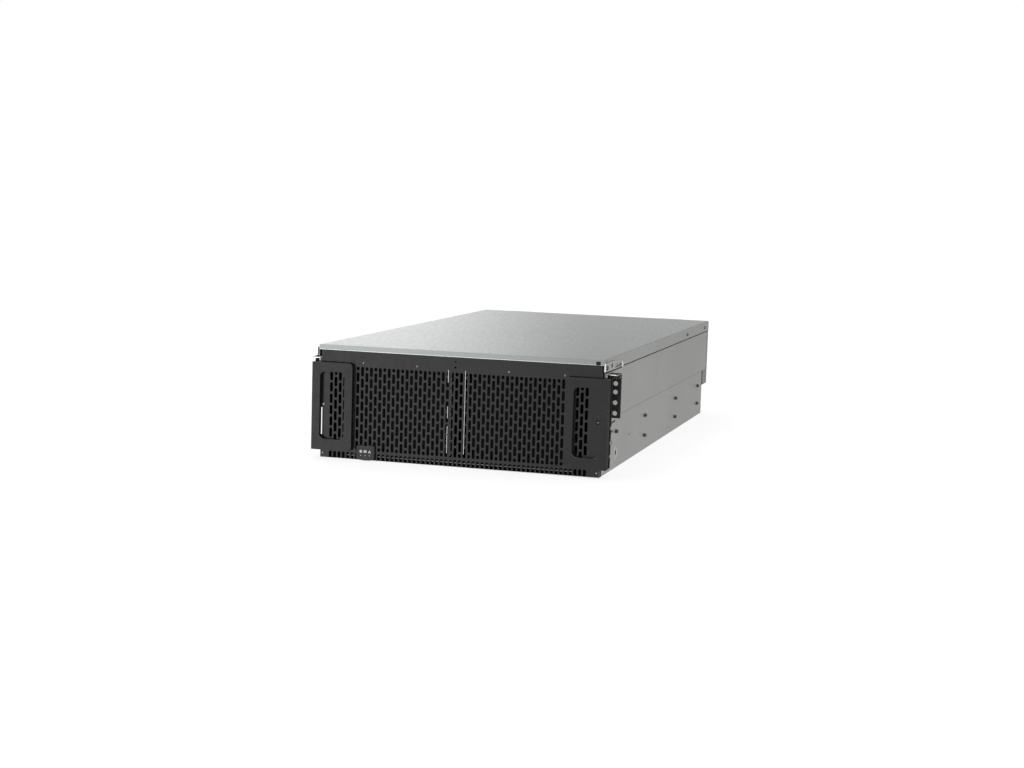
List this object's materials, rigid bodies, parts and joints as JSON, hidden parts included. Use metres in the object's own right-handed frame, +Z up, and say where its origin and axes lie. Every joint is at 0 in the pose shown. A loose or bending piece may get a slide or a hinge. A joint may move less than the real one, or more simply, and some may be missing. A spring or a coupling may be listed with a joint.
{
  "type": "disk shelf enclosure",
  "caption": "Rack-mounted disk shelf with a slotted black front panel, carrying handles, a hinged lid over upright drives, and plug-in fans, power supplies and I/O modules at the back.",
  "frame": {"origin": "centre of the bounding box in plan, at the foot of the enclosure", "axes": "+X to the right seen from the front, +Y to the back, +Z up"},
  "size_m": [0.4826, 0.887, 0.175],
  "materials": {
    "zinc_steel": "satin",
    "lid_steel": "satin",
    "bezel_black": "satin",
    "handle_black": "satin",
    "bright_zinc": "satin",
    "screw_dark": "satin",
    "light_window": "gloss",
    "circuit_board": "satin",
    "drive_cast": "satin",
    "carrier_plastic": "matte",
    "module_black": "matte",
    "rotor_plastic": "satin",
    "latch_blue": "satin",
    "module_steel": "satin"
  },
  "bodies": {
    "chassis": {"base_pan": "zinc_steel", "upper_side_left": "zinc_steel", "upper_side_right": "zinc_steel", "drive_tray": "zinc_steel", "row_partitions": "zinc_steel", "front_beam": "zinc_steel", "middle_beam": "zinc_steel", "rear_header": "zinc_steel", "fan_shelf": "zinc_steel", "bay_dividers": "zinc_steel", "channel_walls": "zinc_steel", "front_grille": "bezel_black", "status_panel": "bezel_black", "status_lights": "light_window", "handle_left": "handle_black", "handle_right": "handle_black", "rack_ears": "handle_black", "ear_brackets": "bright_zinc", "front_screws": "bright_zinc", "ear_studs": "screw_dark", "rail_stops": "zinc_steel", "drive_backplane": "circuit_board", "midplane": "circuit_board", "drive_row_1": "drive_cast", "drive_row_2": "drive_cast", "drive_row_3": "drive_cast", "drive_row_4": "drive_cast", "drive_row_5": "drive_cast", "drive_carriers_front": "carrier_plastic", "drive_carriers_rear": "carrier_plastic", "rear_guards": "module_black", "frame_hinge_leaves": "bright_zinc", "hinge_pins": "bright_zinc"},
    "lid": {"lid": "lid_steel", "lid_stiffeners": "zinc_steel", "lid_hinge_leaves": "bright_zinc", "lid_rivets": "screw_dark"},
    "lid_latch_left": {"lid_latch_left": "bright_zinc"},
    "lid_latch_right": {"lid_latch_right": "bright_zinc"},
    "fan_module_1": {"fan_housing_1": "module_black"},
    "fan_rotor_1": {"fan_rotor_1": "rotor_plastic"},
    "fan_latch_1": {"fan_latch_1": "latch_blue"},
    "fan_module_2": {"fan_housing_2": "module_black"},
    "fan_rotor_2": {"fan_rotor_2": "rotor_plastic"},
    "fan_latch_2": {"fan_latch_2": "latch_blue"},
    "fan_module_3": {"fan_housing_3": "module_black"},
    "fan_rotor_3": {"fan_rotor_3": "rotor_plastic"},
    "fan_latch_3": {"fan_latch_3": "latch_blue"},
    "fan_module_4": {"fan_housing_4": "module_black"},
    "fan_rotor_4": {"fan_rotor_4": "rotor_plastic"},
    "fan_latch_4": {"fan_latch_4": "latch_blue"},
    "power_supply_left": {"power_supply_left": "module_steel"},
    "power_supply_lever_left": {"power_supply_lever_left": "latch_blue"},
    "io_module_left": {"io_module_left": "module_steel"},
    "io_lever_left": {"io_lever_left": "bright_zinc"},
    "power_supply_right": {"power_supply_right": "module_steel"},
    "power_supply_lever_right": {"power_supply_lever_right": "latch_blue"},
    "io_module_right": {"io_module_right": "module_steel"},
    "io_lever_right": {"io_lever_right": "bright_zinc"}
  },
  "joints": [
    {"name": "lid_hinge", "type": "hinge", "parent": "chassis", "child": "lid", "pos_m": [0, 0.4255, 0.1724], "axis": [-1, 0, 0], "range_deg": [0, 85]},
    {"name": "lid_latch_left_turn", "type": "hinge", "parent": "lid", "child": "lid_latch_left", "pos_m": [-0.2254, -0.4345, 0.164], "axis": [1, 0, 0], "range_deg": [0, 75]},
    {"name": "lid_latch_right_turn", "type": "hinge", "parent": "lid", "child": "lid_latch_right", "pos_m": [0.2254, -0.4345, 0.164], "axis": [1, 0, 0], "range_deg": [0, 75]},
    {"name": "fan_module_1_slide", "type": "slide", "parent": "chassis", "child": "fan_module_1", "axis": [0, 1, 0], "range_m": [0, 0.08]},
    {"name": "fan_rotor_1_spin", "type": "hinge", "parent": "fan_module_1", "child": "fan_rotor_1", "pos_m": [-0.1686, 0.4055, 0.1049], "axis": [0, 1, 0], "continuous": true},
    {"name": "fan_latch_1_turn", "type": "hinge", "parent": "fan_module_1", "child": "fan_latch_1", "pos_m": [-0.1165, 0.436, 0.084], "axis": [-1, 0, 0], "range_deg": [0, 12], "stiffness_Nm_per_rad": 0.5},
    {"name": "fan_module_2_slide", "type": "slide", "parent": "chassis", "child": "fan_module_2", "axis": [0, 1, 0], "range_m": [0, 0.08]},
    {"name": "fan_rotor_2_spin", "type": "hinge", "parent": "fan_module_2", "child": "fan_rotor_2", "pos_m": [-0.0602, 0.4055, 0.1049], "axis": [0, 1, 0], "continuous": true},
    {"name": "fan_latch_2_turn", "type": "hinge", "parent": "fan_module_2", "child": "fan_latch_2", "pos_m": [-0.0081, 0.436, 0.084], "axis": [-1, 0, 0], "range_deg": [0, 12], "stiffness_Nm_per_rad": 0.5},
    {"name": "fan_module_3_slide", "type": "slide", "parent": "chassis", "child": "fan_module_3", "axis": [0, 1, 0], "range_m": [0, 0.08]},
    {"name": "fan_rotor_3_spin", "type": "hinge", "parent": "fan_module_3", "child": "fan_rotor_3", "pos_m": [0.0482, 0.4055, 0.1049], "axis": [0, 1, 0], "continuous": true},
    {"name": "fan_latch_3_turn", "type": "hinge", "parent": "fan_module_3", "child": "fan_latch_3", "pos_m": [0.1003, 0.436, 0.084], "axis": [-1, 0, 0], "range_deg": [0, 12], "stiffness_Nm_per_rad": 0.5},
    {"name": "fan_module_4_slide", "type": "slide", "parent": "chassis", "child": "fan_module_4", "axis": [0, 1, 0], "range_m": [0, 0.08]},
    {"name": "fan_rotor_4_spin", "type": "hinge", "parent": "fan_module_4", "child": "fan_rotor_4", "pos_m": [0.1566, 0.4055, 0.1049], "axis": [0, 1, 0], "continuous": true},
    {"name": "fan_latch_4_turn", "type": "hinge", "parent": "fan_module_4", "child": "fan_latch_4", "pos_m": [0.2087, 0.436, 0.084], "axis": [-1, 0, 0], "range_deg": [0, 12], "stiffness_Nm_per_rad": 0.5},
    {"name": "power_supply_left_slide", "type": "slide", "parent": "chassis", "child": "power_supply_left", "axis": [0, 1, 0], "range_m": [0, 0.24]},
    {"name": "power_supply_lever_left_turn", "type": "hinge", "parent": "power_supply_left", "child": "power_supply_lever_left", "pos_m": [-0.1841, 0.403, 0.049], "axis": [1, 0, 0], "range_deg": [0, 10], "stiffness_Nm_per_rad": 0.5},
    {"name": "io_module_left_slide", "type": "slide", "parent": "chassis", "child": "io_module_left", "axis": [0, 1, 0], "range_m": [0, 0.24]},
    {"name": "io_lever_left_turn", "type": "hinge", "parent": "io_module_left", "child": "io_lever_left", "pos_m": [-0.1, 0.4038, 0.014], "axis": [0, 0, 1], "range_deg": [0, 70]},
    {"name": "power_supply_right_slide", "type": "slide", "parent": "chassis", "child": "power_supply_right", "axis": [0, 1, 0], "range_m": [0, 0.24]},
    {"name": "power_supply_lever_right_turn", "type": "hinge", "parent": "power_supply_right", "child": "power_supply_lever_right", "pos_m": [0.1841, 0.403, 0.049], "axis": [1, 0, 0], "range_deg": [0, 10], "stiffness_Nm_per_rad": 0.5},
    {"name": "io_module_right_slide", "type": "slide", "parent": "chassis", "child": "io_module_right", "axis": [0, 1, 0], "range_m": [0, 0.24]},
    {"name": "io_lever_right_turn", "type": "hinge", "parent": "io_module_right", "child": "io_lever_right", "pos_m": [0.1, 0.4038, 0.014], "axis": [0, 0, -1], "range_deg": [0, 70]}
  ]
}
